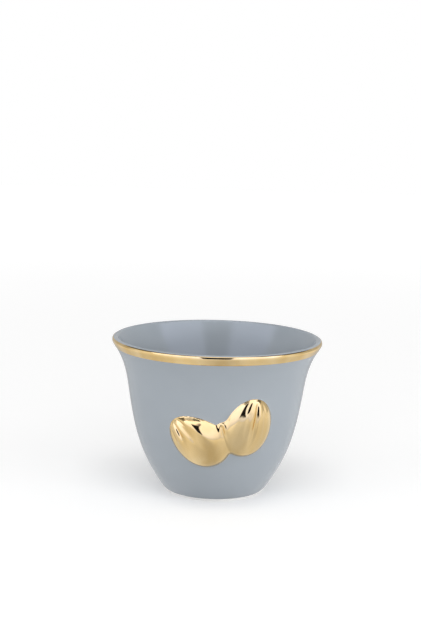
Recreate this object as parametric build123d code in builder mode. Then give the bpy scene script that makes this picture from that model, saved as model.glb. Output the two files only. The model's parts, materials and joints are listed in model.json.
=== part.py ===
from build123d import *

import os
from math import atan2, cos, exp, radians, sin, sqrt

# Arabic coffee cup: a small flared porcelain cup with no handle.
#
# Two ribbed cardamom pods stand in relief on the front and are gilded, as is the rim.
# The cup is glazed inside and out, and stands on a bare foot ring.
#
# Millimetres and degrees. +Z is up. The origin is on the cup's axis, on the surface that
# the cup stands on. The pods face -Y. A lean is an angle outwards from vertical. A pull
# is how far a curve is drawn along its end's direction before it bends away.

# Whole cup
CUP_HEIGHT = 55.8
RIM_RADIUS = 37.5

# Layers on the porcelain
GLAZE_THICKNESS = 0.25
GILDING_THICKNESS = 0.1

# Outer wall, on the glaze. It turns in under the heel to the glaze's edge.
HEEL_HEIGHT = 2.5
HEEL_RADIUS = 19.3
HEEL_TURN_IN = 1.4
HEEL_LEAN = 33.7
HEEL_PULL = 13.2
WAIST_HEIGHT = 38.0
WAIST_RADIUS = 31.5
WAIST_LEAN = 8.4
BOWL_PULL = 17.4
FLARE_PULL = 9.8
LIP_PULL = 4.2
LIP_LEAN = 30.0
LIP_RADIUS = 1.2

# Inner wall and floor, on the glaze
WALL_THICKNESS = 2.6
FLOOR_THICKNESS = 3.0
FLOOR_FLAT_RADIUS = 8.0
INNER_BOWL_PULL = 24.0
FLOOR_PULL = 13.0

# Foot ring, set back from the glaze's edge, and the recess inside it
FOOT_HEIGHT = 1.0
FOOT_SET_BACK = 0.4
FOOT_WIDTH = 3.0
FOOT_ROUND = 0.4
RECESS_RISE = 1.0

# Gold band on the lip: from how far under the top, and to what angle on the lip's round
BAND_WIDTH = 3.5
BAND_TOP_ANGLE = 48.0

# Pods: place of the middle on the wall, turn of the long axis from upright towards +X,
# size of the footprint, and rise above the glaze
LEFT_POD_AZIMUTH = -11.5
LEFT_POD_HEIGHT = 24.4
LEFT_POD_TURN = -55.0
LEFT_POD_LENGTH = 22.6
LEFT_POD_WIDTH = 17.2
LEFT_POD_RISE = 4.5
LEFT_POD_TAPER = 0.10
LEFT_POD_GROOVES = (22.0, 50.0, 73.0, 94.0)

RIGHT_POD_AZIMUTH = 22.1
RIGHT_POD_HEIGHT = 29.3
RIGHT_POD_TURN = 12.5
RIGHT_POD_LENGTH = 21.6
RIGHT_POD_WIDTH = 17.3
RIGHT_POD_RISE = 4.5
RIGHT_POD_TAPER = 0.04
RIGHT_POD_GROOVES = (62.0, 90.0, 118.0, 162.0)

STEM_AZIMUTH = 7.0
STEM_HEIGHT = 26.6
STEM_TURN = -16.0
STEM_LENGTH = 11.0
STEM_WIDTH = 8.0
STEM_RISE = 2.2
STEM_TAPER = -0.1

# All pods: grooves, and how far the body of a pod is let into the wall
GROOVE_DEPTH = 0.2
GROOVE_SPREAD = 9.0
POD_SINK = 1.0
POD_SECTIONS = 9
RIB_STEP = 6
WALL_SAMPLE = 2.0


def along(lean):
    """Unit direction that leans outwards from vertical, in the plane of a section."""
    return Vector(sin(radians(lean)), cos(radians(lean)))


def across(lean):
    """Unit direction square to a lean, out of the wall."""
    return Vector(cos(radians(lean)), -sin(radians(lean)))


# Points that the outlines pass, as radius and height, on the glaze
heel_top = Vector(HEEL_RADIUS, HEEL_HEIGHT)
waist = Vector(WAIST_RADIUS, WAIST_HEIGHT)
inner_waist = waist - across(WAIST_LEAN) * WALL_THICKNESS
lip_centre = Vector(RIM_RADIUS - GILDING_THICKNESS - LIP_RADIUS, CUP_HEIGHT - LIP_RADIUS)
glaze_edge_radius = HEEL_RADIUS - HEEL_TURN_IN
foot_radius = glaze_edge_radius - FOOT_SET_BACK
recess_height = FOOT_HEIGHT + RECESS_RISE
recess_radius = foot_radius - FOOT_WIDTH
floor_height = recess_height + FLOOR_THICKNESS


def draw_bowl(depth=0):
    """Outer wall from heel to waist, at a depth under the glaze's surface."""
    start = heel_top - across(HEEL_LEAN) * depth
    end = waist - across(WAIST_LEAN) * depth
    return Bezier(
        start,
        start + along(HEEL_LEAN) * HEEL_PULL,
        end - along(WAIST_LEAN) * BOWL_PULL,
        end,
    )


def draw_flare(depth=0, end_angle=90):
    """Outer wall from waist to an angle on the lip, at a depth under the glaze's surface."""
    start = waist - across(WAIST_LEAN) * depth
    lip_start = lip_centre + across(LIP_LEAN) * (LIP_RADIUS - depth)
    Bezier(
        start,
        start + along(WAIST_LEAN) * FLARE_PULL,
        lip_start - along(LIP_LEAN) * LIP_PULL,
        lip_start,
    )
    return CenterArc(lip_centre, LIP_RADIUS - depth, -LIP_LEAN, end_angle + LIP_LEAN)


def draw_outside(depth=0):
    """Whole outer wall, from the glaze's edge above the foot to the top of the lip."""
    bowl = draw_bowl(depth)
    TangentArc(bowl @ 0, (glaze_edge_radius - depth, FOOT_HEIGHT), tangent=-along(HEEL_LEAN))
    draw_flare(depth)


def draw_inside(depth=0):
    """Inner wall and floor, from the top of the lip to the cup's axis."""
    lip_end = lip_centre - across(LIP_LEAN) * (LIP_RADIUS - depth)
    middle = inner_waist + across(WAIST_LEAN) * depth
    floor_edge = Vector(FLOOR_FLAT_RADIUS, floor_height - depth)
    CenterArc(lip_centre, LIP_RADIUS - depth, 90, 90 - LIP_LEAN)
    Bezier(
        lip_end,
        lip_end - along(LIP_LEAN) * LIP_PULL,
        middle + along(WAIST_LEAN) * FLARE_PULL,
        middle,
    )
    Bezier(
        middle,
        middle - along(WAIST_LEAN) * INNER_BOWL_PULL,
        floor_edge + Vector(FLOOR_PULL, 0),
        floor_edge,
    )
    Line(floor_edge, (0, floor_height - depth))


def lip_top(depth=0):
    """Top of the lip, at a depth under the glaze's surface."""
    return lip_centre + Vector(0, LIP_RADIUS - depth)


# Sections of the layers
with BuildSketch(Plane.XZ) as outer_glaze_section:
    with BuildLine():
        draw_outside()
        draw_outside(GLAZE_THICKNESS)
        Line(lip_top(), lip_top(GLAZE_THICKNESS))
        Line((glaze_edge_radius, FOOT_HEIGHT), (glaze_edge_radius - GLAZE_THICKNESS, FOOT_HEIGHT))
    make_face()

with BuildSketch(Plane.XZ) as inner_glaze_section:
    with BuildLine():
        draw_inside()
        draw_inside(GLAZE_THICKNESS)
        Line(lip_top(), lip_top(GLAZE_THICKNESS))
        Line((0, floor_height), (0, floor_height - GLAZE_THICKNESS))
    make_face()

with BuildSketch(Plane.XZ) as recess_glaze_section:
    with Locations((0, recess_height)):
        Rectangle(recess_radius, GLAZE_THICKNESS, align=(Align.MIN, Align.MIN))

with BuildSketch(Plane.XZ) as porcelain_section:
    with BuildLine():
        draw_outside(GLAZE_THICKNESS)
        draw_inside(GLAZE_THICKNESS)
        Polyline(
            (0, floor_height - GLAZE_THICKNESS),
            (0, recess_height + GLAZE_THICKNESS),
            (recess_radius, recess_height + GLAZE_THICKNESS),
            (recess_radius, FOOT_HEIGHT),
            (glaze_edge_radius - GLAZE_THICKNESS, FOOT_HEIGHT),
        )
    make_face()

with BuildSketch(Plane.XZ) as rim_gilding_section:
    with BuildLine():
        under_band = draw_flare(0, BAND_TOP_ANGLE)
        over_band = draw_flare(-GILDING_THICKNESS, BAND_TOP_ANGLE)
        Line(under_band @ 1, over_band @ 1)
        Line(waist, waist + across(WAIST_LEAN) * GILDING_THICKNESS)
    make_face()
    with Locations((0, CUP_HEIGHT - BAND_WIDTH)):
        Rectangle(RIM_RADIUS, CUP_HEIGHT, align=(Align.MIN, Align.MAX), mode=Mode.SUBTRACT)

with BuildLine():
    bowl_wall = draw_bowl()


def wall_point(height):
    """Radius and height of the bowl's glazed wall at a height, found by halving."""
    low, high = 0.0, 1.0
    for _ in range(30):
        middle = (low + high) / 2
        if (bowl_wall @ middle).Y < height:
            low = middle
        else:
            high = middle
    return bowl_wall @ low


def wall_lean(lower, upper):
    """Lean of the wall between two of its points, in radians."""
    return atan2(upper.X - lower.X, upper.Y - lower.Y)


def pod_solid(azimuth, height, turn, length, width, rise, taper, grooves=(), inset=0):
    """Egg-shaped dome that bends with the wall and is let into it, ribbed if it has grooves.

    It is lofted along its length, through sections that stand square to the wall. An
    inset takes that much off all round.
    """
    middle = wall_point(height)
    below = wall_point(height - WALL_SAMPLE)
    above = wall_point(height + WALL_SAMPLE)
    lean = wall_lean(below, above)
    bend_up = (wall_lean(below, middle) - wall_lean(middle, above)) / WALL_SAMPLE * cos(lean)
    bend_round = cos(lean) / middle.X

    outward = Vector(0, -1, 0).rotate(Axis.Z, azimuth)
    normal = outward * cos(lean) - Vector(0, 0, sin(lean))
    level = Vector(1, 0, 0).rotate(Axis.Z, azimuth)
    seat = Plane(
        outward * middle.X + Vector(0, 0, middle.Y),
        x_dir=level.rotate(Axis((0, 0, 0), normal), -turn),
        z_dir=normal,
    )

    def fall(x, y):
        """How far the wall bends away from the seat's plane."""
        around = x * cos(radians(turn)) + y * sin(radians(turn))
        up = y * cos(radians(turn)) - x * sin(radians(turn))
        return (around**2 * bend_round + up**2 * bend_up) / 2

    full_rise = rise - inset + POD_SINK
    sunk = sqrt(1 - (POD_SINK / full_rise) ** 2)
    reach = (length / 2 - inset) / sunk
    half_width = (width / 2 - inset) / sunk

    rib_angles = range(0, 181, RIB_STEP)
    rib_shares = [angle / 180 for angle in rib_angles]
    sections = []
    for number in range(POD_SECTIONS):
        station = -cos(radians(180 * (number + 0.5) / POD_SECTIONS))
        y = reach * station
        swell = sqrt(1 - station**2) * (1 - taper * station)
        groove_depth = GROOVE_DEPTH * ((1 + station) / 2) ** 2
        ribs = []
        for angle in rib_angles:
            groove = sum(exp(-(((angle - g) / GROOVE_SPREAD) ** 2)) for g in grooves)
            x = half_width * swell * cos(radians(angle))
            z = full_rise * swell * sin(radians(angle)) * (1 - groove_depth * groove)
            ribs.append(Vector(x, z - POD_SINK - fall(x, y)))
        station_plane = Plane(
            seat.from_local_coords((0, y, 0)), x_dir=seat.x_dir, z_dir=-seat.y_dir
        )
        with BuildSketch(station_plane) as section:
            with BuildLine():
                add(Edge.make_spline(ribs, parameters=rib_shares))
                Line(ribs[-1], ribs[0])
            make_face()
        sections.append(section.sketch.face())
    with BuildPart() as pod:
        loft(sections=sections)
    return pod.part


LEFT_POD = (
    LEFT_POD_AZIMUTH,
    LEFT_POD_HEIGHT,
    LEFT_POD_TURN,
    LEFT_POD_LENGTH,
    LEFT_POD_WIDTH,
    LEFT_POD_RISE,
    LEFT_POD_TAPER,
    LEFT_POD_GROOVES,
)
RIGHT_POD = (
    RIGHT_POD_AZIMUTH,
    RIGHT_POD_HEIGHT,
    RIGHT_POD_TURN,
    RIGHT_POD_LENGTH,
    RIGHT_POD_WIDTH,
    RIGHT_POD_RISE,
    RIGHT_POD_TAPER,
    RIGHT_POD_GROOVES,
)
STEM = (
    STEM_AZIMUTH,
    STEM_HEIGHT,
    STEM_TURN,
    STEM_LENGTH,
    STEM_WIDTH,
    STEM_RISE,
    STEM_TAPER,
)
gilded_forms = [pod_solid(*form) for form in (LEFT_POD, RIGHT_POD, STEM)]
left_form, right_form, stem_form = (
    pod_solid(*form, inset=GILDING_THICKNESS) for form in (LEFT_POD, RIGHT_POD, STEM)
)


def filling(depth):
    """Solid of everything within the outer wall, at a depth under the glaze's surface."""
    with BuildPart() as whole:
        with BuildSketch(Plane.XZ):
            with BuildLine():
                draw_outside(depth)
                Polyline(
                    lip_top(depth),
                    (0, lip_top(depth).Y),
                    (0, FOOT_HEIGHT),
                    (glaze_edge_radius - depth, FOOT_HEIGHT),
                )
            make_face()
        revolve(axis=Axis.Z)
    return whole.part


# What the relief is trimmed against: all within the glaze, and all within the porcelain
glazed_filling = filling(0)
porcelain_filling = filling(GLAZE_THICKNESS)

# Porcelain
with BuildPart() as cup_body:
    with BuildSketch(Plane.XZ):
        add(porcelain_section.sketch_local)
    revolve(axis=Axis.Z)

with BuildPart() as foot_ring:
    with BuildSketch(Plane.XZ):
        with Locations((recess_radius, 0)):
            ring = Rectangle(FOOT_WIDTH, FOOT_HEIGHT, align=(Align.MIN, Align.MIN))
        fillet(ring.vertices().group_by(Axis.Y)[0], FOOT_ROUND)
    revolve(axis=Axis.Z)

with BuildPart() as left_pod:
    add(left_form)
    add(porcelain_filling, mode=Mode.SUBTRACT)

with BuildPart() as right_pod:
    add(right_form)
    add(porcelain_filling, mode=Mode.SUBTRACT)
    add(left_form, mode=Mode.SUBTRACT)

with BuildPart() as pod_stem:
    add(stem_form)
    add(porcelain_filling, mode=Mode.SUBTRACT)
    add(left_form, mode=Mode.SUBTRACT)
    add(right_form, mode=Mode.SUBTRACT)

# Glaze, open where the pods stand on the porcelain
with BuildPart() as outer_glaze:
    with BuildSketch(Plane.XZ):
        add(outer_glaze_section.sketch_local)
    revolve(axis=Axis.Z)
    add(left_form, mode=Mode.SUBTRACT)
    add(right_form, mode=Mode.SUBTRACT)
    add(stem_form, mode=Mode.SUBTRACT)

with BuildPart() as inner_glaze:
    with BuildSketch(Plane.XZ):
        add(inner_glaze_section.sketch_local)
    revolve(axis=Axis.Z)

with BuildPart() as recess_glaze:
    with BuildSketch(Plane.XZ):
        add(recess_glaze_section.sketch_local)
    revolve(axis=Axis.Z)

# Gilding
with BuildPart() as rim_gilding:
    with BuildSketch(Plane.XZ):
        add(rim_gilding_section.sketch_local)
    revolve(axis=Axis.Z)

with BuildPart() as relief_gilding:
    add(gilded_forms)
    add(glazed_filling, mode=Mode.SUBTRACT)
    add(left_form, mode=Mode.SUBTRACT)
    add(right_form, mode=Mode.SUBTRACT)
    add(stem_form, mode=Mode.SUBTRACT)

nodes = {
    "cup_body": cup_body,
    "foot_ring": foot_ring,
    "left_pod": left_pod,
    "right_pod": right_pod,
    "pod_stem": pod_stem,
    "outer_glaze": outer_glaze,
    "inner_glaze": inner_glaze,
    "recess_glaze": recess_glaze,
    "rim_gilding": rim_gilding,
    "relief_gilding": relief_gilding,
}
os.makedirs("parts", exist_ok=True)
for node_name, node in nodes.items():
    node.part.label = node_name
    export_step(node.part, f"parts/{node_name}.step")
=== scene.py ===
import json
import math

import bpy
import numpy as np
from mathutils import Matrix, Vector

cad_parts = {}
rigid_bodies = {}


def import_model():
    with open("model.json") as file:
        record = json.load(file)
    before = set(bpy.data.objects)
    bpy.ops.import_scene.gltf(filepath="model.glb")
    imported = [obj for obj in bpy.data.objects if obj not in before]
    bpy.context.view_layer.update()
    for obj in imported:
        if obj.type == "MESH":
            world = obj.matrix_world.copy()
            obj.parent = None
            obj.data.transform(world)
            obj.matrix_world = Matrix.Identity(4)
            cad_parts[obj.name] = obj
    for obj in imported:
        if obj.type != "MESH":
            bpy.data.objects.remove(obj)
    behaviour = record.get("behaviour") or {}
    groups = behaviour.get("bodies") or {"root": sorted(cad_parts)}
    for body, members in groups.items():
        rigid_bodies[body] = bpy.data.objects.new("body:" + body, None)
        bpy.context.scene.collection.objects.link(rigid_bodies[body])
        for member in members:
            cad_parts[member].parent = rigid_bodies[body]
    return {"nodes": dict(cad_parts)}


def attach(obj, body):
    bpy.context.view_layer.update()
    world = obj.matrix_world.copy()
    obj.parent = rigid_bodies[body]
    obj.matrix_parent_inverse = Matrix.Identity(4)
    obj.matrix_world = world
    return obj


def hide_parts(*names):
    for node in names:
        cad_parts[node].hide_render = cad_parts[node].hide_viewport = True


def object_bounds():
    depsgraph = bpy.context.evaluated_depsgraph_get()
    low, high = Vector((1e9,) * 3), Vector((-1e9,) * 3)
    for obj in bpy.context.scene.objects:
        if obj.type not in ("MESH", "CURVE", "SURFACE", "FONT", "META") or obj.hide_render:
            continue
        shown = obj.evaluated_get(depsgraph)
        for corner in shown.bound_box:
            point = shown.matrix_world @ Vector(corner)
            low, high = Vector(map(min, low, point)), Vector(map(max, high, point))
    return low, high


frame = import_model()
cad_low, cad_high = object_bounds()

# All shapes are worked out in millimetres, in the CAD's frame, and become metres as meshes.
# Azimuth is measured from -Y, where the pods are, towards +X.
MM = 0.001

# ---------------------------------------------------------------------------------------
# The cup's outlines, from the same sizes as the CAD model
# ---------------------------------------------------------------------------------------
CUP_HEIGHT = cad_high.z / MM
RIM_RADIUS = (cad_high.x - cad_low.x) / 2 / MM
GLAZE_THICKNESS = 0.25
GILDING_THICKNESS = 0.1
HEEL_HEIGHT, HEEL_RADIUS, HEEL_LEAN, HEEL_PULL, HEEL_TURN_IN = 2.5, 19.3, 33.7, 13.2, 1.4
WAIST_HEIGHT, WAIST_RADIUS, WAIST_LEAN = 38.0, 31.5, 8.4
BOWL_PULL, FLARE_PULL, LIP_PULL = 17.4, 9.8, 4.2
LIP_LEAN, LIP_RADIUS = 30.0, 1.2
WALL_THICKNESS = 2.6
FOOT_HEIGHT = 1.0
FLOOR_HEIGHT, FLOOR_FLAT_RADIUS = 5.0, 8.0
INNER_BOWL_PULL, FLOOR_PULL = 24.0, 13.0
BAND_WIDTH, BAND_TOP = 3.5, 48.0


def along(lean):
    return np.array([math.sin(math.radians(lean)), math.cos(math.radians(lean))])


def across(lean):
    return np.array([math.cos(math.radians(lean)), -math.sin(math.radians(lean))])


heel_top = np.array([HEEL_RADIUS, HEEL_HEIGHT])
glaze_edge = np.array([HEEL_RADIUS - HEEL_TURN_IN, FOOT_HEIGHT])
waist = np.array([WAIST_RADIUS, WAIST_HEIGHT])
inner_waist = waist - across(WAIST_LEAN) * WALL_THICKNESS
lip_centre = np.array([RIM_RADIUS - GILDING_THICKNESS - LIP_RADIUS, CUP_HEIGHT - LIP_RADIUS])


def bezier(p0, p1, p2, p3, count=160):
    t = np.linspace(0, 1, count)[:, None]
    return (1 - t) ** 3 * p0 + 3 * (1 - t) ** 2 * t * p1 + 3 * (1 - t) * t**2 * p2 + t**3 * p3


def arc(centre, radius, start, end, count=24):
    angles = np.radians(np.linspace(start, end, count))
    return centre + radius * np.stack([np.cos(angles), np.sin(angles)], 1)


def tangent_arc(start, direction, end, count=16):
    """Arc that leaves start in a direction and reaches end."""
    side = np.array([-direction[1], direction[0]])
    span = end - start
    radius = span @ span / (2 * (side @ span))
    centre = start + side * radius
    first = math.atan2(*(start - centre)[::-1])
    last = math.atan2(*(end - centre)[::-1])
    turn = (last - first + math.pi) % (2 * math.pi) - math.pi
    angles = first + turn * np.linspace(0, 1, count)
    return centre + abs(radius) * np.stack([np.cos(angles), np.sin(angles)], 1)


def join(*runs):
    """Runs of points end to end, without the doubled ones."""
    points = np.concatenate(runs)
    keep = np.ones(len(points), bool)
    keep[1:] = np.linalg.norm(np.diff(points, axis=0), axis=1) > 1e-6
    return points[keep]


def outside(depth=0.0):
    """Outer wall from the glaze's edge to the top of the lip, at a depth under the glaze."""
    start = heel_top - across(HEEL_LEAN) * depth
    middle = waist - across(WAIST_LEAN) * depth
    lip_start = lip_centre + across(LIP_LEAN) * (LIP_RADIUS - depth)
    return join(
        tangent_arc(start, -along(HEEL_LEAN), glaze_edge - [depth, 0])[::-1],
        bezier(
            start,
            start + along(HEEL_LEAN) * HEEL_PULL,
            middle - along(WAIST_LEAN) * BOWL_PULL,
            middle,
        ),
        bezier(
            middle,
            middle + along(WAIST_LEAN) * FLARE_PULL,
            lip_start - along(LIP_LEAN) * LIP_PULL,
            lip_start,
        ),
        arc(lip_centre, LIP_RADIUS - depth, -LIP_LEAN, 90),
    )


def inside(depth=0.0):
    """Inner wall and floor from the top of the lip to the cup's axis."""
    lip_end = lip_centre - across(LIP_LEAN) * (LIP_RADIUS - depth)
    middle = inner_waist + across(WAIST_LEAN) * depth
    floor_edge = np.array([FLOOR_FLAT_RADIUS, FLOOR_HEIGHT - depth])
    return join(
        arc(lip_centre, LIP_RADIUS - depth, 90, 180 - LIP_LEAN),
        bezier(
            lip_end,
            lip_end - along(LIP_LEAN) * LIP_PULL,
            middle + along(WAIST_LEAN) * FLARE_PULL,
            middle,
            60,
        ),
        bezier(
            middle,
            middle - along(WAIST_LEAN) * INNER_BOWL_PULL,
            floor_edge + [FLOOR_PULL, 0],
            floor_edge,
            80,
        ),
        np.array([[4.0, FLOOR_HEIGHT - depth], [0.0, FLOOR_HEIGHT - depth]]),
    )


def resample(points, steps):
    """Points along an outline at the given distances from its start."""
    lengths = np.concatenate([[0], np.cumsum(np.linalg.norm(np.diff(points, axis=0), axis=1))])
    return np.stack([np.interp(steps, lengths, points[:, k]) for k in (0, 1)], 1)


def outline_length(points):
    return np.linalg.norm(np.diff(points, axis=0), axis=1).sum()


# ---------------------------------------------------------------------------------------
# Meshes
# ---------------------------------------------------------------------------------------
def spin(radius, height, azimuth):
    """Points in space from radius, height and azimuth in radians."""
    x, y = radius * np.sin(azimuth), -radius * np.cos(azimuth)
    return np.stack([x, y, height + np.zeros_like(x)], -1)


def add_mesh(name, points, faces, sharp_angle=50):
    mesh = bpy.data.meshes.new(name)
    mesh.from_pydata((np.asarray(points) * MM).tolist(), [], faces)
    mesh.validate()
    mesh.update()
    mesh.shade_smooth()
    mesh.set_sharp_from_angle(angle=math.radians(sharp_angle))
    piece = bpy.data.objects.new(name, mesh)
    bpy.context.scene.collection.objects.link(piece)
    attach(piece, "root")
    return piece


def lathe(name, outline, azimuths, sharp_angle=50):
    """Closed ring from an outline that goes once round its section, anticlockwise with the
    axis at the left. Where the outline's two ends are on the axis they become poles."""
    outline = np.asarray(outline, float)
    poles = outline[0, 0] < 1e-9 and outline[-1, 0] < 1e-9
    body = outline[1:-1] if poles else outline
    rows, columns = len(body), len(azimuths)
    grid = spin(body[:, 0, None], body[:, 1, None], azimuths[None, :])
    points = grid.reshape(-1, 3)
    faces = []
    for i in range(rows - 1 if poles else rows):
        for j in range(columns):
            a, b = i * columns, (i + 1) % rows * columns
            k = (j + 1) % columns
            faces.append((a + j, a + k, b + k, b + j))
    if poles:
        first, last = len(points), len(points) + 1
        ends = [[0, 0, outline[0, 1]], [0, 0, outline[-1, 1]]]
        points = np.concatenate([points, ends])
        top = (rows - 1) * columns
        for j in range(columns):
            k = (j + 1) % columns
            faces.append((first, k, j))
            faces.append((last, top + j, top + k))
    return add_mesh(name, points, faces, sharp_angle)


# ---------------------------------------------------------------------------------------
# The relief: how high the pods stand over the wall
# ---------------------------------------------------------------------------------------
POD_RISE, POD_SINK = 4.5, 1.0
WALL_SAMPLE = 2.0

# A groove: angle round the pod at its tip end and at its other end, where those ends are
# along the pod from -1 to 1 at the tip, depth as a share of the height, and spread. A depth
# under zero is a ridge.
LEFT_GROOVES = (
    (43.0, 63.0, 0.75, -0.65, -0.20, 13.0),
    (14.0, 36.0, 0.80, -0.50, 0.05, 6.0),
    (66.0, 90.0, 0.90, -0.50, 0.10, 7.0),
    (58.0, 64.0, 0.95, 0.50, 0.20, 4.0),
    (86.0, 104.0, 0.92, 0.20, 0.22, 6.0),
    (120.0, 128.0, 0.85, 0.20, 0.16, 7.0),
)
RIGHT_GROOVES = (
    (160.0, 168.0, 0.90, -0.50, 0.10, 10.0),
    (139.0, 141.0, 0.90, -0.60, -0.05, 8.0),
    (126.0, 120.0, 1.00, 0.40, 0.07, 4.0),
    (112.0, 104.0, 0.60, -0.70, 0.04, 7.0),
    (93.0, 88.0, 0.85, -0.70, 0.15, 6.0),
    (64.0, 60.0, 0.85, -0.50, 0.11, 7.0),
)
# A form: azimuth, height, turn, length, width, rise, taper, grooves
LEFT_POD = (-11.5, 24.4, -55.0, 22.6, 17.2, POD_RISE, 0.10, LEFT_GROOVES)
RIGHT_POD = (22.1, 29.3, 12.5, 21.6, 17.3, POD_RISE, 0.04, RIGHT_GROOVES)
STEM_GROOVES = ((100.0, 96.0, 0.80, -0.80, 0.30, 9.0),)
STEM = (7.0, 26.6, -16.0, 11.0, 8.0, 2.2, -0.1, STEM_GROOVES)
PODS = (LEFT_POD, RIGHT_POD, STEM)

wall = outside()
bowl_only = wall[wall[:, 1] < WAIST_HEIGHT]


def wall_radius(height):
    return np.interp(height, bowl_only[:, 1], bowl_only[:, 0])


def smoothstep(low, high, x):
    t = np.clip((x - low) / (high - low), 0, 1)
    return t * t * (3 - 2 * t)


def seat(azimuth, height, turn):
    """Origin and axes of the plane that a pod sits on."""
    lean = math.atan2(
        wall_radius(height + WALL_SAMPLE) - wall_radius(height - WALL_SAMPLE),
        2 * WALL_SAMPLE,
    )
    a, t = math.radians(azimuth), math.radians(turn)
    outward = np.array([math.sin(a), -math.cos(a), 0])
    level = np.array([math.cos(a), math.sin(a), 0])
    normal = outward * math.cos(lean) - np.array([0, 0, math.sin(lean)])
    upward = np.cross(normal, level)
    x_axis = level * math.cos(t) - upward * math.sin(t)
    y_axis = upward * math.cos(t) + level * math.sin(t)
    origin = outward * wall_radius(height) + np.array([0, 0, height])
    return origin, x_axis, y_axis, normal


def pod_field(points, pod):
    """Square of one pod's height over its sunk base at points of the wall; it is negative
    outside the pod's footprint."""
    azimuth, height, turn, length, width, rise, taper, grooves = pod
    origin, x_axis, y_axis, _ = seat(azimuth, height, turn)
    full_rise = rise + POD_SINK
    sunk = math.sqrt(1 - (POD_SINK / full_rise) ** 2)
    station = (points - origin) @ y_axis * sunk / (length / 2)
    lean = 1 - taper * np.clip(station, -1.2, 1.2)
    side = (points - origin) @ x_axis * sunk / (width / 2) / lean
    swell = np.sqrt(np.clip(1 - station**2, 1e-6, None))
    angle = np.degrees(np.arccos(np.clip(side / swell, -1, 1)))
    dent = np.zeros_like(station)
    for tip_angle, end_angle, tip, end, depth, spread in grooves:
        way = np.clip((tip - station) / (tip - end), 0, 1)
        centre = tip_angle + (end_angle - tip_angle) * way
        strength = smoothstep(end, end + 0.7 * (tip - end), station)
        strength *= smoothstep(tip + 0.1, tip - 0.1, station)
        dent += depth * strength * np.exp(-(((angle - centre) / spread) ** 2))
    return (full_rise * lean * (1 - dent)) ** 2 * (1 - station**2 - side**2)


def pod_height(points, pod):
    return np.sqrt(np.clip(pod_field(points, pod), 0, None)) - POD_SINK


# How far the forms melt into each other, in height and in the direction they rise
MELT = 2.4
TURN_MELT = 9.0
# Soft edge of the glaze where it meets the relief
FILLET_HEIGHT = 0.28
FILLET_REACH = 0.08
FILLET_BLEND = 0.4
SKIRT_START, SKIRT_END = 1.3, 1.9


def relief(points):
    """Height over the wall, direction in which it rises, and the share that is under 1
    where the gold lies."""
    fields = np.stack([pod_field(points, pod) for pod in PODS])
    top = fields.max(0)
    field = top + MELT * np.log(np.exp((fields - top) / MELT).sum(0))
    crown = (POD_RISE + POD_SINK) ** 2
    share = np.sqrt(np.clip((crown - field) / (crown - POD_SINK**2), 0, None))
    height = np.sqrt(np.clip(field, 0, None)) - POD_SINK
    skirt = FILLET_HEIGHT * np.exp(-np.clip(share - 1, 0, None) / FILLET_REACH)
    skirt *= smoothstep(SKIRT_END, SKIRT_START, share)
    near = np.clip(FILLET_BLEND - np.abs(height - skirt), 0, None) / FILLET_BLEND
    height = np.maximum(height, skirt) + near * near * FILLET_BLEND / 4
    height = np.where(share < SKIRT_END, height, 0)
    weights = np.exp((fields - top) / TURN_MELT)
    normals = [seat(*pod[:3])[3] for pod in PODS]
    direction = sum(w[..., None] * n for w, n in zip(weights, normals))
    direction /= np.linalg.norm(direction, axis=-1, keepdims=True)
    return height, direction, share


# ---------------------------------------------------------------------------------------
# The wall as a grid that is fine where the relief is
# ---------------------------------------------------------------------------------------
RELIEF_AZIMUTHS = (-46.0, 49.0)
RELIEF_HEIGHTS = (9.0, 43.5)
RELIEF_RADIUS = 28
FINE = 0.18
PLAIN_COLUMNS = 98
FAR_OUTSIDE = 9.0
columns_fine = int(
    math.radians(RELIEF_AZIMUTHS[1] - RELIEF_AZIMUTHS[0]) * RELIEF_RADIUS / FINE
)
azimuths = np.radians(
    np.concatenate(
        [
            np.linspace(*RELIEF_AZIMUTHS, columns_fine, endpoint=False),
            np.linspace(
                RELIEF_AZIMUTHS[1], RELIEF_AZIMUTHS[0] + 360, PLAIN_COLUMNS, endpoint=False
            ),
        ]
    )
)
even_azimuths = np.radians(np.arange(0, 360, 1.8))

wall_steps = np.concatenate([[0], np.cumsum(np.linalg.norm(np.diff(wall, axis=0), axis=1))])
fine_low = np.interp(RELIEF_HEIGHTS[0], wall[:, 1], wall_steps)
fine_high = np.interp(RELIEF_HEIGHTS[1], wall[:, 1], wall_steps)
lip_at = np.interp((lip_centre + across(LIP_LEAN) * LIP_RADIUS)[1], wall[:, 1], wall_steps)
rows_at = np.concatenate(
    [
        np.linspace(0, fine_low, 16, endpoint=False),
        np.linspace(fine_low, fine_high, int((fine_high - fine_low) / FINE), endpoint=False),
        np.linspace(fine_high, lip_at, 16, endpoint=False),
        np.linspace(lip_at, wall_steps[-1], 12),
    ]
)


def wall_points(step, azimuth):
    radius = np.interp(step, wall_steps, wall[:, 0])
    height = np.interp(step, wall_steps, wall[:, 1])
    return spin(radius, height, azimuth)


step_grid, azimuth_grid = np.meshgrid(rows_at, azimuths, indexing="ij")
in_relief = (step_grid >= fine_low) & (step_grid <= fine_high)
in_relief &= np.arange(len(azimuths))[None, :] < columns_fine


def gold_share(step, azimuth):
    return relief(wall_points(step, azimuth))[2]


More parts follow.
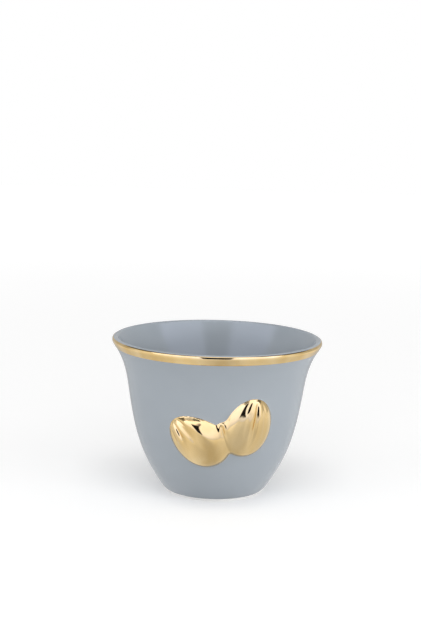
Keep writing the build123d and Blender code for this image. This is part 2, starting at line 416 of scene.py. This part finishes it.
# Grid points next to the gold's edge move onto it, so that the edge is a clean line
share_grid = np.full(step_grid.shape, FAR_OUTSIDE)
share_grid[in_relief] = gold_share(step_grid[in_relief], azimuth_grid[in_relief])
offset = share_grid - 1
nearest = np.full(offset.shape, 0.5)
new_step, new_azimuth = step_grid.copy(), azimuth_grid.copy()
for down, right in ((0, 1), (0, -1), (1, 0), (-1, 0)):
    other = np.roll(offset, (-down, -right), (0, 1))
    other_step = np.roll(step_grid, (-down, -right), (0, 1))
    other_azimuth = np.roll(azimuth_grid, (-down, -right), (0, 1))
    crossing = (offset * other < 0) & in_relief
    way = np.where(crossing, offset / np.where(crossing, offset - other, 1), 1)
    closer = way < nearest
    nearest = np.where(closer, way, nearest)
    new_step = np.where(closer, step_grid + way * (other_step - step_grid), new_step)
    new_azimuth = np.where(
        closer, azimuth_grid + way * (other_azimuth - azimuth_grid), new_azimuth
    )
on_edge = nearest < 0.5
step_grid, azimuth_grid = new_step, new_azimuth
# 0 on the gold's edge, -1 under the gold, 1 outside it
state = np.where(on_edge, 0, np.where(offset < 0, -1, 1))

base = wall_points(step_grid, azimuth_grid)
height_grid = np.zeros(step_grid.shape)
direction_grid = np.zeros(base.shape)
height, direction, _ = relief(base[in_relief])
height_grid[in_relief] = height
direction_grid[in_relief] = direction
surface = base + height_grid[..., None] * direction_grid

rows, columns = step_grid.shape
index = np.arange(rows * columns).reshape(rows, columns)
gold_faces, glaze_faces = [], []
for i in range(rows - 1):
    for j in range(columns):
        k = (j + 1) % columns
        quad = (index[i, j], index[i, k], index[i + 1, k], index[i + 1, j])
        states = (state[i, j], state[i, k], state[i + 1, k], state[i + 1, j])
        if min(states) == -1 and max(states) == 1:
            if states[0] == 0:
                halves = ((0, 1, 2), (0, 2, 3))
            else:
                halves = ((1, 2, 3), (1, 3, 0))
            for half in halves:
                face = tuple(int(quad[n]) for n in half)
                is_gold = min(states[n] for n in half) == -1
                (gold_faces if is_gold else glaze_faces).append(face)
        else:
            face = tuple(int(n) for n in quad)
            (gold_faces if min(states) == -1 else glaze_faces).append(face)


def skin(name, faces, top, bottom, sharp_angle=50):
    """Closed piece between two copies of the same faces."""
    used = sorted({n for face in faces for n in face})
    order = {n: place for place, n in enumerate(used)}
    count = len(used)
    outer = [tuple(order[n] for n in face) for face in faces]
    inner = [tuple(n + count for n in face[::-1]) for face in outer]
    edges = {}
    for face in outer:
        for a, b in zip(face, face[1:] + face[:1]):
            edges[(a, b)] = True
    sides = [(b, a, a + count, b + count) for a, b in edges if (b, a) not in edges]
    points = np.concatenate([top[used], bottom[used]])
    return add_mesh(name, points, outer + inner + sides, sharp_angle)


flat_surface = surface.reshape(-1, 3)
flat_direction = direction_grid.reshape(-1, 3)
flat_state = state.reshape(-1)

# Outer glaze: the outer face dips a little under the gold. The inner face is plain, and it
# has more rows on the arcs at the heel and at the lip.
GOLD_HALF = 0.02
UNDER_GOLD = 0.03
HEEL_ARC = 2.1
under_gold = np.where(flat_state == -1, UNDER_GOLD, 0.0)[:, None]
glaze_outer = flat_surface - under_gold * flat_direction
inner_outline = outside(GLAZE_THICKNESS)
inner_end = outline_length(inner_outline)
inner_lip = inner_end - math.radians(90 + LIP_LEAN) * (LIP_RADIUS - GLAZE_THICKNESS)
inner_steps = np.concatenate(
    [
        np.linspace(0, HEEL_ARC, 4, endpoint=False),
        np.linspace(HEEL_ARC, inner_lip, 20, endpoint=False),
        np.linspace(inner_lip, inner_end, 8),
    ]
)
inner_outline = resample(inner_outline, inner_steps)[::-1]
inner_grid = spin(inner_outline[:, 0, None], inner_outline[:, 1, None], azimuths[None, :])
glaze_points = np.concatenate([glaze_outer, inner_grid.reshape(-1, 3)])
ring_faces = []
first = rows * columns
for j in range(columns):
    k = (j + 1) % columns
    top = (rows - 1) * columns
    ring_faces.append((top + j, top + k, first + k, first + j))
    bottom = first + (len(inner_outline) - 1) * columns
    ring_faces.append((bottom + j, bottom + k, k, j))
    for i in range(len(inner_outline) - 1):
        a, b = first + i * columns, first + (i + 1) * columns
        ring_faces.append((a + j, a + k, b + k, b + j))
outer_glaze = add_mesh("outer_glaze_coat", glaze_points, gold_faces + glaze_faces + ring_faces)
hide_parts("outer_glaze")

relief_gold = skin(
    "relief_gold",
    gold_faces,
    flat_surface + GOLD_HALF * flat_direction,
    flat_surface - GOLD_HALF * flat_direction,
    80,
)
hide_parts("relief_gilding")

# Porcelain inside the relief: each of the gold's faces belongs to the highest form there
CORE_COVER = 0.45
flat_base = base.reshape(-1, 3)
own = np.full((3, rows * columns), -FAR_OUTSIDE)
flat_in = in_relief.reshape(-1)
for number, pod in enumerate(PODS):
    own[number, flat_in] = pod_height(flat_base[flat_in], pod)
leader = np.where(own[0] > CORE_COVER, 0, np.where(own[1] > CORE_COVER, 1, 2))
leader[own.max(0) <= CORE_COVER + 0.1] = 3
for number, node in enumerate(("left_pod", "right_pod", "pod_stem")):
    faces = [face for face in gold_faces if all(leader[n] == number for n in face)]
    reach = np.clip(own[number] - CORE_COVER, 0.1, None)[:, None]
    core = skin(
        node + "_core",
        faces,
        flat_base + reach * flat_direction,
        flat_base - GLAZE_THICKNESS * flat_direction,
    )
    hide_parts(node)

# Inner glaze, and the gold band over the lip
inner_outline = np.concatenate([inside(GLAZE_THICKNESS)[::-1], inside()])
inner_glaze = lathe("inner_glaze_coat", inner_outline, even_azimuths)
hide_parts("inner_glaze")


BAND_EDGE, BAND_EDGE_SHARE = 0.35, 0.25


def band(lift):
    """Course of the gold band over the lip, from its lower edge outside, at a height over
    the glaze that thins out at both edges."""
    lip_start = lip_centre + across(LIP_LEAN) * LIP_RADIUS
    flare = bezier(
        waist,
        waist + along(WAIST_LEAN) * FLARE_PULL,
        lip_start - along(LIP_LEAN) * LIP_PULL,
        lip_start,
        400,
    )
    course = join(
        flare[flare[:, 1] >= CUP_HEIGHT - BAND_WIDTH],
        arc(lip_centre, LIP_RADIUS, -LIP_LEAN, BAND_TOP, 60),
    )
    course = resample(course, np.linspace(0, outline_length(course), 44))
    ahead = np.gradient(course, axis=0)
    out = np.stack([ahead[:, 1], -ahead[:, 0]], 1)
    out /= np.linalg.norm(out, axis=1)[:, None]
    way = np.linspace(0, outline_length(course), len(course))
    ends = np.minimum(way, way[-1] - way)
    thin = BAND_EDGE_SHARE + (1 - BAND_EDGE_SHARE) * smoothstep(0, BAND_EDGE, ends)
    return course + out * (lift * thin)[:, None]


rim_gold = lathe(
    "rim_gold",
    np.concatenate([band(GILDING_THICKNESS), band(0.0)[::-1]]),
    even_azimuths,
    60,
)
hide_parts("rim_gilding")


# ---------------------------------------------------------------------------------------
# Materials
# ---------------------------------------------------------------------------------------
def new_material(name):
    material = bpy.data.materials.new(name)
    material.use_nodes = True
    tree = material.node_tree
    return material, tree, tree.nodes["Principled BSDF"]


def noise(tree, scale, detail=3.0, stretch=(1, 1, 1)):
    """Noise in the object's own space. The scale counts features in a metre."""
    place = tree.nodes.new("ShaderNodeTexCoord")
    mapping = tree.nodes.new("ShaderNodeMapping")
    mapping.inputs["Scale"].default_value = stretch
    texture = tree.nodes.new("ShaderNodeTexNoise")
    texture.inputs["Scale"].default_value = scale
    texture.inputs["Detail"].default_value = detail
    tree.links.new(place.outputs["Object"], mapping.inputs["Vector"])
    tree.links.new(mapping.outputs["Vector"], texture.inputs["Vector"])
    return texture.outputs["Fac"]


def ramp(tree, source, low, high, low_value, high_value):
    """Maps a source from low..high to two numbers."""
    node = tree.nodes.new("ShaderNodeMapRange")
    node.inputs["From Min"].default_value = low
    node.inputs["From Max"].default_value = high
    node.inputs["To Min"].default_value = low_value
    node.inputs["To Max"].default_value = high_value
    tree.links.new(source, node.inputs["Value"])
    return node.outputs["Result"]


def colours(tree, source, stops):
    """Maps a source from 0..1 to colours, or to levels of grey."""
    node = tree.nodes.new("ShaderNodeValToRGB")
    for number, (position, colour) in enumerate(stops):
        if number < 2:
            stop = node.color_ramp.elements[number]
        else:
            stop = node.color_ramp.elements.new(1.0)
        stop.position = position
        stop.color = (*colour, 1) if isinstance(colour, tuple) else (colour, colour, colour, 1)
    tree.links.new(source, node.inputs["Fac"])
    return node


def math_node(tree, operation, first, second=0.0):
    node = tree.nodes.new("ShaderNodeMath")
    node.operation = operation
    for socket, value in zip(node.inputs, (first, second)):
        if isinstance(value, (int, float)):
            socket.default_value = value
        else:
            tree.links.new(value, socket)
    return node.outputs["Value"]


def bump(tree, shader, source, distance, strength=1.0):
    node = tree.nodes.new("ShaderNodeBump")
    node.inputs["Strength"].default_value = strength
    node.inputs["Distance"].default_value = distance
    tree.links.new(source, node.inputs["Height"])
    tree.links.new(node.outputs["Normal"], shader.inputs["Normal"])


def glaze_material(name, dark, light):
    material, tree, shader = new_material(name)
    cloud = colours(tree, noise(tree, 60, 2), ((0.3, dark), (0.7, light)))
    tree.links.new(cloud.outputs["Color"], shader.inputs["Base Color"])
    haze = noise(tree, 120, 2)
    tree.links.new(ramp(tree, haze, 0.3, 0.7, 0.13, 0.18), shader.inputs["Roughness"])
    shader.inputs["IOR"].default_value = 1.5
    bump(tree, shader, noise(tree, 160, 1), 0.00003, 0.25)
    return material


def porcelain_material(name, dark, light, rough_low, rough_high, grain):
    material, tree, shader = new_material(name)
    cloud = colours(tree, noise(tree, 140, 5), ((0.35, dark), (0.65, light)))
    tree.links.new(cloud.outputs["Color"], shader.inputs["Base Color"])
    tree.links.new(
        ramp(tree, noise(tree, 500, 4), 0.3, 0.7, rough_low, rough_high),
        shader.inputs["Roughness"],
    )
    bump(tree, shader, noise(tree, grain, 6), 0.00003, 0.5)
    return material


def gold_material(name, dark, light, rough_low, rough_high):
    material, tree, shader = new_material(name)
    shader.inputs["Metallic"].default_value = 1.0
    # Upright streaks of darker and lighter gold: partly the lustre's own uneven tint, partly
    # painted reflection streaks
    cloud = colours(tree, noise(tree, 170, 2, (1, 1, 0.4)), ((0.3, dark), (0.7, light)))
    tree.links.new(cloud.outputs["Color"], shader.inputs["Base Color"])
    tree.links.new(
        ramp(tree, noise(tree, 420, 4), 0.3, 0.7, rough_low, rough_high),
        shader.inputs["Roughness"],
    )
    bump(tree, shader, noise(tree, 330, 3), 0.00003, 0.5)
    return material


grey_glaze = glaze_material("grey_glaze", (0.333, 0.369, 0.406), (0.345, 0.382, 0.420))
porcelain = porcelain_material(
    "porcelain", (0.80, 0.79, 0.77), (0.86, 0.85, 0.83), 0.3, 0.4, 1500
)
bare_foot = porcelain_material(
    "bare_foot", (0.84, 0.835, 0.825), (0.90, 0.895, 0.885), 0.6, 0.8, 4000
)
gold = gold_material("gold", (0.79, 0.555, 0.240), (0.89, 0.675, 0.360), 0.06, 0.12)


def dress(piece, material):
    piece.data.materials.clear()
    piece.data.materials.append(material)


dress(outer_glaze, grey_glaze)
dress(inner_glaze, grey_glaze)
dress(relief_gold, gold)
dress(rim_gold, gold)
for node in ("left_pod", "right_pod", "pod_stem"):
    dress(bpy.data.objects[node + "_core"], porcelain)
for node, material in (
    ("cup_body", porcelain),
    ("foot_ring", bare_foot),
    ("recess_glaze", grey_glaze),
):
    for slot in frame["nodes"][node].material_slots:
        slot.material = material

# ---------------------------------------------------------------------------------------
# Floor, light and camera
# ---------------------------------------------------------------------------------------
def card(name, corners):
    """Flat stage piece from its four corners, anticlockwise."""
    mesh = bpy.data.meshes.new(name)
    mesh.from_pydata([tuple(corner) for corner in corners], [], [(0, 1, 2, 3)])
    piece = bpy.data.objects.new(name, mesh)
    bpy.context.scene.collection.objects.link(piece)
    return piece


def stage_material(name):
    """Material with only its output, and where a point of the piece lies."""
    material = bpy.data.materials.new(name)
    material.use_nodes = True
    tree = material.node_tree
    tree.nodes.clear()
    output = tree.nodes.new("ShaderNodeOutputMaterial")
    place = tree.nodes.new("ShaderNodeTexCoord")
    return material, tree, output.inputs["Surface"], place.outputs["Object"]


def emission(tree, strength, tint=(1, 1, 1)):
    node = tree.nodes.new("ShaderNodeEmission")
    node.inputs["Color"].default_value = (*tint, 1)
    tree.links.new(strength, node.inputs["Strength"])
    return node.outputs["Emission"]


# The floor has a glow for the camera, and its own brightness in mirrors, by azimuth
FLOOR_REACH = 1.5
FLOOR_MIRRORED = (
    (-180, 0.50),
    (-150, 0.50),
    (-122, 0.72),
    (-70, 0.78),
    (-34, 0.90),
    (-18, 0.78),
    (0, 0.62),
    (14, 0.62),
    (34, 0.80),
    (76, 0.76),
    (122, 0.80),
    (150, 0.50),
    (180, 0.50),
)
floor = card(
    "floor",
    [(x * FLOOR_REACH, y * FLOOR_REACH, 0) for x, y in ((-1, -1), (1, -1), (1, 1), (-1, 1))],
)
material, tree, surface_in, place = stage_material("floor")
length = tree.nodes.new("ShaderNodeVectorMath")
length.operation = "LENGTH"
tree.links.new(place, length.inputs[0])
distance = length.outputs["Value"]
path = tree.nodes.new("ShaderNodeLightPath")

diffuse = tree.nodes.new("ShaderNodeBsdfDiffuse")
diffuse.inputs["Color"].default_value = (0.8, 0.8, 0.8, 1)
whiter = ramp(tree, distance, 0.1, 1.2, 0.28, 0.66)
whiter = math_node(tree, "MULTIPLY", whiter, path.outputs["Is Camera Ray"])
seen = tree.nodes.new("ShaderNodeAddShader")
tree.links.new(diffuse.outputs["BSDF"], seen.inputs[0])
tree.links.new(emission(tree, whiter), seen.inputs[1])

axes = tree.nodes.new("ShaderNodeSeparateXYZ")
tree.links.new(place, axes.inputs["Vector"])
ahead = math_node(tree, "MULTIPLY", axes.outputs["Y"], -1)
azimuth = math_node(tree, "ARCTAN2", axes.outputs["X"], ahead)
turn = ramp(tree, azimuth, -math.pi, math.pi, 0.0, 1.0)
levels = colours(tree, turn, [(degrees / 360 + 0.5, level) for degrees, level in FLOOR_MIRRORED])
mirrored = math_node(
    tree, "MULTIPLY", levels.outputs["Color"], ramp(tree, distance, 0.05, 0.25, 0.95, 1.2)
)
mix = tree.nodes.new("ShaderNodeMixShader")
tree.links.new(path.outputs["Is Glossy Ray"], mix.inputs["Fac"])
tree.links.new(seen.outputs["Shader"], mix.inputs[1])
tree.links.new(emission(tree, mirrored), mix.inputs[2])
tree.links.new(mix.outputs["Shader"], surface_in)
dress(floor, material)

# Light panel over the camera with a dark gap in its middle. It shows only in reflections.
PANEL_WIDTH, PANEL_FOOT, PANEL_TOP = 2.4, (0.0, -0.65, 0.0), (0.0, -0.05, 1.0)
PANEL_LEVEL, GAP_LEVEL = 3.0, 0.02
PANEL_TINT = (0.94, 0.99, 1.26)
PANEL_RISE = ((0.0, 0.27), (0.06, 0.33), (0.14, 0.41), (0.28, 0.48), (0.50, 0.53), (0.85, 0.65))
GAP_HALF, GAP_FROM, GAP_TO = 0.145, 0.10, 0.62
panel = card(
    "light_panel",
    [
        Vector(end) + Vector((side * PANEL_WIDTH / 2, 0, 0))
        for end, side in ((PANEL_FOOT, 1), (PANEL_FOOT, -1), (PANEL_TOP, -1), (PANEL_TOP, 1))
    ],
)
panel.visible_camera = False
panel.visible_diffuse = False
panel.visible_shadow = False
material, tree, surface_in, place = stage_material("light_panel")
axes = tree.nodes.new("ShaderNodeSeparateXYZ")
tree.links.new(place, axes.inputs["Vector"])


def between(tree, source, low, high, blur):
    """1 where the source is between two values."""
    middle = math_node(tree, "SUBTRACT", source, (low + high) / 2)
    off_middle = math_node(tree, "ABSOLUTE", middle)
    half = (high - low) / 2
    return ramp(tree, off_middle, half + blur, half - blur, 0.0, 1.0)


rise = colours(tree, axes.outputs["Z"], PANEL_RISE)
rise.color_ramp.interpolation = "CARDINAL"
gap = math_node(
    tree,
    "MULTIPLY",
    between(tree, axes.outputs["X"], -GAP_HALF, GAP_HALF, 0.015),
    between(tree, axes.outputs["Z"], GAP_FROM, GAP_TO, 0.03),
)
lit = ramp(tree, gap, 0.0, 1.0, PANEL_LEVEL, GAP_LEVEL)
power = math_node(tree, "MULTIPLY", rise.outputs["Color"], lit)
tree.links.new(emission(tree, power, PANEL_TINT), surface_in)
dress(panel, material)

# The world is white for the camera and dimmer for the light it gives. In mirrors it is
# darker behind the cup, and darkest high up at both sides, where the photo has other cups.
WORLD_SEEN, WORLD_LIGHT, MORE_IN_FRONT = 1.0, 0.55, 0.45
SIDE_MIDDLE, DARK_SHARE = 0.08, 0.22
world = bpy.data.worlds.new("world")
bpy.context.scene.world = world
world.use_nodes = True
tree = world.node_tree
background = tree.nodes["Background"]
background.inputs["Color"].default_value = (1, 1, 1, 1)
path = tree.nodes.new("ShaderNodeLightPath")
place = tree.nodes.new("ShaderNodeTexCoord")
axes = tree.nodes.new("ShaderNodeSeparateXYZ")
tree.links.new(place.outputs["Generated"], axes.inputs["Vector"])
plain = ramp(tree, path.outputs["Is Camera Ray"], 0.0, 1.0, WORLD_LIGHT, WORLD_SEEN)
more = ramp(tree, axes.outputs["Y"], -0.1, 0.4, MORE_IN_FRONT, 0.0)
more = math_node(tree, "MULTIPLY", more, path.outputs["Is Glossy Ray"])
level = math_node(tree, "ADD", plain, more)
off_side = math_node(tree, "SUBTRACT", axes.outputs["X"], SIDE_MIDDLE)
off_side = math_node(tree, "ABSOLUTE", off_side)
dark = ramp(tree, off_side, 0.18, 0.28, 0.0, 1.0)
dark = math_node(tree, "MULTIPLY", dark, ramp(tree, axes.outputs["Z"], 0.46, 0.56, 0.0, 1.0))
dark = math_node(tree, "MULTIPLY", dark, ramp(tree, axes.outputs["Y"], -0.16, 0.04, 0.0, 1.0))
dark = math_node(tree, "MULTIPLY", dark, path.outputs["Is Glossy Ray"])
level = math_node(tree, "MULTIPLY", level, ramp(tree, dark, 0.0, 1.0, 1.0, DARK_SHARE))
tree.links.new(level, background.inputs["Strength"])


def softbox(name, power, width, depth, centre, target=(0, 0, 0.03)):
    lamp = bpy.data.lights.new(name, "AREA")
    lamp.shape = "RECTANGLE"
    lamp.size = width
    lamp.size_y = depth
    lamp.energy = power
    piece = bpy.data.objects.new(name, lamp)
    bpy.context.scene.collection.objects.link(piece)
    aim = Vector(target) - Vector(centre)
    piece.rotation_mode = "QUATERNION"
    piece.rotation_quaternion = aim.to_track_quat("-Z", "Y")
    piece.location = centre
    piece.visible_glossy = False
    return piece


softbox("front_light", 2.35, 1.0, 0.6, (0.05, -0.75, 0.60))
softbox("top_light", 1.4, 0.4, 0.4, (0.0, -0.28, 0.80))
softbox("left_light", 2.3, 0.35, 0.2, (-0.85, -0.40, 0.10))
softbox("right_light", 3.7, 0.35, 0.2, (0.85, -0.40, 0.09))

# The camera, fitted to the photograph
CAMERA_PLACE = (-2.616, -486.05, 142.72)
CAMERA_PITCH = 9.274
CAMERA_ROLL = 1.4
FOCAL_PIXELS = 1380.8
LONG_SIDE_PIXELS = 631
SENSOR = 36.0

camera_data = bpy.data.cameras.new("camera")
camera_data.sensor_width = SENSOR
camera_data.lens = FOCAL_PIXELS / LONG_SIDE_PIXELS * SENSOR
camera_data.clip_start = 0.01
camera_data.clip_end = 50
camera = bpy.data.objects.new("camera", camera_data)
bpy.context.scene.collection.objects.link(camera)
pitch, roll = math.radians(CAMERA_PITCH), math.radians(CAMERA_ROLL)
right = np.array([1.0, 0.0, 0.0])
up = np.array([0.0, math.sin(pitch), math.cos(pitch)])
back = np.array([0.0, -math.cos(pitch), math.sin(pitch)])
camera_right = right * math.cos(roll) + up * math.sin(roll)
camera_up = up * math.cos(roll) - right * math.sin(roll)
turn = Matrix(np.stack([camera_right, camera_up, back], 1).tolist())
camera.matrix_world = Matrix.Translation(np.array(CAMERA_PLACE) * MM) @ turn.to_4x4()
bpy.context.scene.camera = camera
bpy.context.scene.view_settings.view_transform = "Standard"
